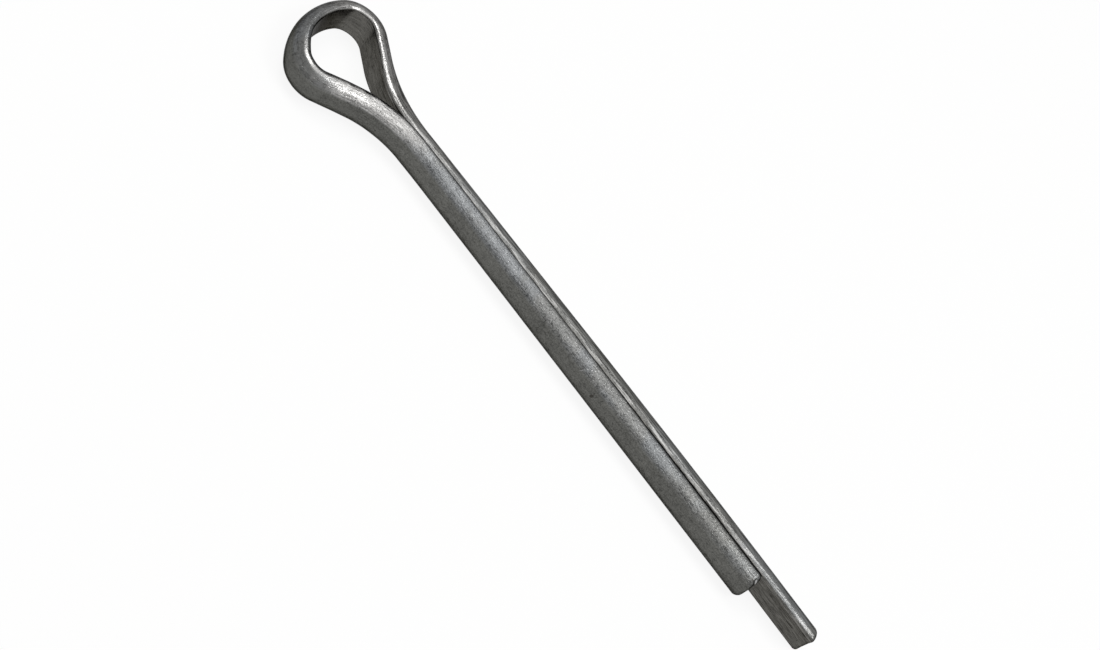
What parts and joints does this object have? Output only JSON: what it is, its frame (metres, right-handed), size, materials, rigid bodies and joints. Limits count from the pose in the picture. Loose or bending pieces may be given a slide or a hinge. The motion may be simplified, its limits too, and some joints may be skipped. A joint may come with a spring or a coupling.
{
  "type": "cotter pin",
  "caption": "Extended-prong cotter pin folded from half-round steel wire, with a teardrop eye and square-cut prongs, one longer than the other.",
  "frame": {"origin": "on the axis of the closed shank, where the eye begins", "axes": "+X along the shank, from the eye to the ends of the prongs; +Y toward the long prong; +Z across the wire, square to the plane of the eye"},
  "size_m": [0.0882, 0.0157, 0.0044],
  "materials": {
    "steel": "satin"
  },
  "bodies": {
    "root": {"cotter_pin": "steel"}
  },
  "joints": []
}
